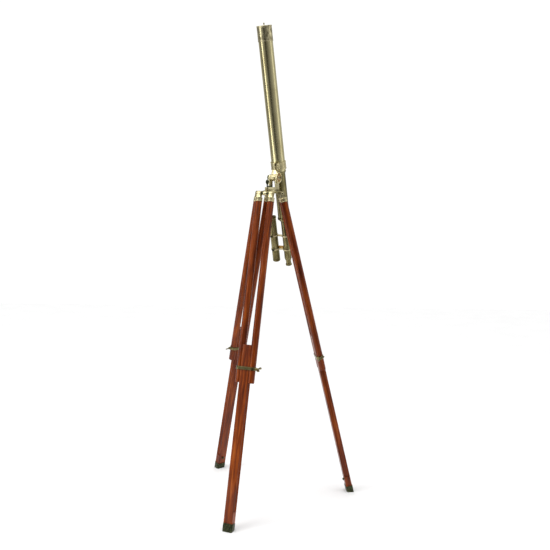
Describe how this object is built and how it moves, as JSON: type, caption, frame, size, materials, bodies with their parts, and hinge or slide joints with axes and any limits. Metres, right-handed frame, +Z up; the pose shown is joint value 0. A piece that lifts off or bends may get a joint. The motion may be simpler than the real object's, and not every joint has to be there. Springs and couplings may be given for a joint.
{
  "type": "tripod telescope",
  "caption": "Brass telescope with a small finder on a floor-standing tripod: split hardwood legs with sliding feet, a turning head and a tilting fork.",
  "frame": {"origin": "middle of the base of the bounding box, on the floor", "axes": "+Z up; the tube leans over the front leg, towards -X and -Y; +X to the right of a viewer who faces the fork"},
  "size_m": [0.6582, 0.709, 2.0434],
  "materials": {
    "mahogany": "gloss varnish",
    "polished_brass": "polished",
    "pale_brass": "satin",
    "bronzed_steel": "dark bronzed",
    "glass": "clear"
  },
  "bodies": {
    "head": {"head_spider": "pale_brass", "king_bolt": "bronzed_steel"},
    "front_outer_leg": {"front_rod_left": "mahogany", "front_rod_right": "mahogany", "front_ferrule_left": "pale_brass", "front_ferrule_right": "pale_brass", "front_hinge_pin": "bronzed_steel", "front_clamp_strap": "polished_brass"},
    "front_inner_leg": {"front_sliding_leg": "mahogany", "front_foot": "bronzed_steel", "front_stop_peg": "bronzed_steel"},
    "front_wing_screw": {"front_wing_screw": "polished_brass"},
    "rear_outer_leg": {"rear_rod_left": "mahogany", "rear_rod_right": "mahogany", "rear_ferrule_left": "pale_brass", "rear_ferrule_right": "pale_brass", "rear_hinge_pin": "bronzed_steel", "rear_clamp_strap": "polished_brass"},
    "rear_inner_leg": {"rear_sliding_leg": "mahogany", "rear_foot": "bronzed_steel", "rear_stop_peg": "bronzed_steel"},
    "rear_wing_screw": {"rear_wing_screw": "polished_brass"},
    "side_outer_leg": {"side_rod_left": "mahogany", "side_rod_right": "mahogany", "side_ferrule_left": "pale_brass", "side_ferrule_right": "pale_brass", "side_hinge_pin": "bronzed_steel", "side_clamp_strap": "polished_brass"},
    "side_inner_leg": {"side_sliding_leg": "mahogany", "side_foot": "bronzed_steel", "side_stop_peg": "bronzed_steel"},
    "side_wing_screw": {"side_wing_screw": "polished_brass"},
    "swivel": {"swivel_bracket": "pale_brass", "tilt_bolt": "bronzed_steel", "tilt_back_nut": "bronzed_steel"},
    "pan_lock": {"pan_lock_screw": "bronzed_steel"},
    "tilt_wheel": {"tilt_handwheel": "polished_brass"},
    "tube": {"mount_collar": "polished_brass", "main_barrel": "polished_brass", "lower_barrel": "polished_brass", "barrel_end_ring": "polished_brass", "tail_tube": "polished_brass", "objective_cell": "polished_brass", "objective_flint_lens": "glass", "objective_crown_lens": "glass", "objective_retaining_ring": "polished_brass", "finder_tube": "polished_brass", "finder_objective_lens": "glass", "finder_bracket_upper": "polished_brass", "finder_bracket_lower": "polished_brass"},
    "collar_screw": {"collar_thumbscrew": "polished_brass"},
    "draw": {"draw_tube": "polished_brass", "eyepiece_body": "polished_brass", "eyepiece_eye_lens": "glass", "eyepiece_field_lens": "glass"},
    "finder_eye": {"finder_eyepiece": "polished_brass", "finder_eye_lens": "glass"},
    "cap": {"dust_cap": "polished_brass"},
    "finder_screw_upper": {"finder_screw_upper": "polished_brass"},
    "finder_screw_lower": {"finder_screw_lower": "polished_brass"}
  },
  "joints": [
    {"name": "front_leg_fold", "type": "hinge", "parent": "head", "child": "front_outer_leg", "pos_m": [-0.09101, -0.02269, 1.35], "axis": [0.9205, -0.3907, 0], "range_deg": [0, 13]},
    {"name": "front_leg_slide", "type": "slide", "parent": "front_outer_leg", "child": "front_inner_leg", "axis": [0.0945, 0.2227, 0.9703], "range_m": [-0.07, 0.515]},
    {"name": "front_wing_turn", "type": "hinge", "parent": "front_outer_leg", "child": "front_wing_screw", "pos_m": [-0.16068, -0.18681, 0.63489], "axis": [0.9205, -0.3907, 0], "continuous": true},
    {"name": "rear_leg_fold", "type": "hinge", "parent": "head", "child": "rear_outer_leg", "pos_m": [-0.10136, 0.06155, 1.35], "axis": [-0.7986, -0.6018, 0], "range_deg": [0, 13]},
    {"name": "rear_leg_slide", "type": "slide", "parent": "rear_outer_leg", "child": "rear_inner_leg", "axis": [0.1456, -0.1932, 0.9703], "range_m": [-0.07, 0.515]},
    {"name": "rear_wing_turn", "type": "hinge", "parent": "rear_outer_leg", "child": "rear_wing_screw", "pos_m": [-0.20866, 0.20395, 0.63489], "axis": [-0.7986, -0.6018, 0], "continuous": true},
    {"name": "side_leg_fold", "type": "hinge", "parent": "head", "child": "side_outer_leg", "pos_m": [-0.02323, 0.02839, 1.35], "axis": [-0.1219, 0.9925, 0], "range_deg": [0, 13]},
    {"name": "side_leg_slide", "type": "slide", "parent": "side_outer_leg", "child": "side_inner_leg", "axis": [-0.2401, -0.0295, 0.9703], "range_m": [-0.07, 0.515]},
    {"name": "side_wing_turn", "type": "hinge", "parent": "side_outer_leg", "child": "side_wing_screw", "pos_m": [0.15374, 0.05012, 0.63489], "axis": [-0.1219, 0.9925, 0], "continuous": true},
    {"name": "pan", "type": "hinge", "parent": "head", "child": "swivel", "pos_m": [-0.07187, 0.02242, 1.35], "axis": [0, 0, 1], "continuous": true},
    {"name": "pan_lock_turn", "type": "hinge", "parent": "swivel", "child": "pan_lock", "pos_m": [-0.08399, 0.00055, 1.35], "axis": [0, 0, 1], "continuous": true},
    {"name": "tilt", "type": "hinge", "parent": "swivel", "child": "tube", "pos_m": [-0.05587, 0.05128, 1.417], "axis": [0.8746, -0.4848, 0], "range_deg": [-1, 76]},
    {"name": "tilt_wheel_turn", "type": "hinge", "parent": "swivel", "child": "tilt_wheel", "pos_m": [-0.05587, 0.05128, 1.417], "axis": [0.8746, -0.4848, 0], "continuous": true},
    {"name": "collar_screw_turn", "type": "hinge", "parent": "tube", "child": "collar_screw", "pos_m": [-0.04744, 0.04178, 1.46338], "axis": [0.9665, -0.2488, 0.0635], "continuous": true},
    {"name": "focus_draw", "type": "slide", "parent": "tube", "child": "draw", "axis": [0.1189, 0.2146, -0.9694], "range_m": [0, 0.07]},
    {"name": "finder_focus", "type": "slide", "parent": "tube", "child": "finder_eye", "axis": [0.1189, 0.2146, -0.9694], "range_m": [0, 0.008]},
    {"name": "dust_cap_pull", "type": "slide", "parent": "tube", "child": "cap", "axis": [-0.1189, -0.2146, 0.9694], "range_m": [0, 0.08]},
    {"name": "finder_screw_upper_turn", "type": "hinge", "parent": "tube", "child": "finder_screw_upper", "pos_m": [-0.06012, 0.16736, 1.15437], "axis": [-0.47, -0.8479, -0.2453], "continuous": true},
    {"name": "finder_screw_lower_turn", "type": "hinge", "parent": "tube", "child": "finder_screw_lower", "pos_m": [-0.05251, 0.18109, 1.09233], "axis": [-0.47, -0.8479, -0.2453], "continuous": true}
  ]
}
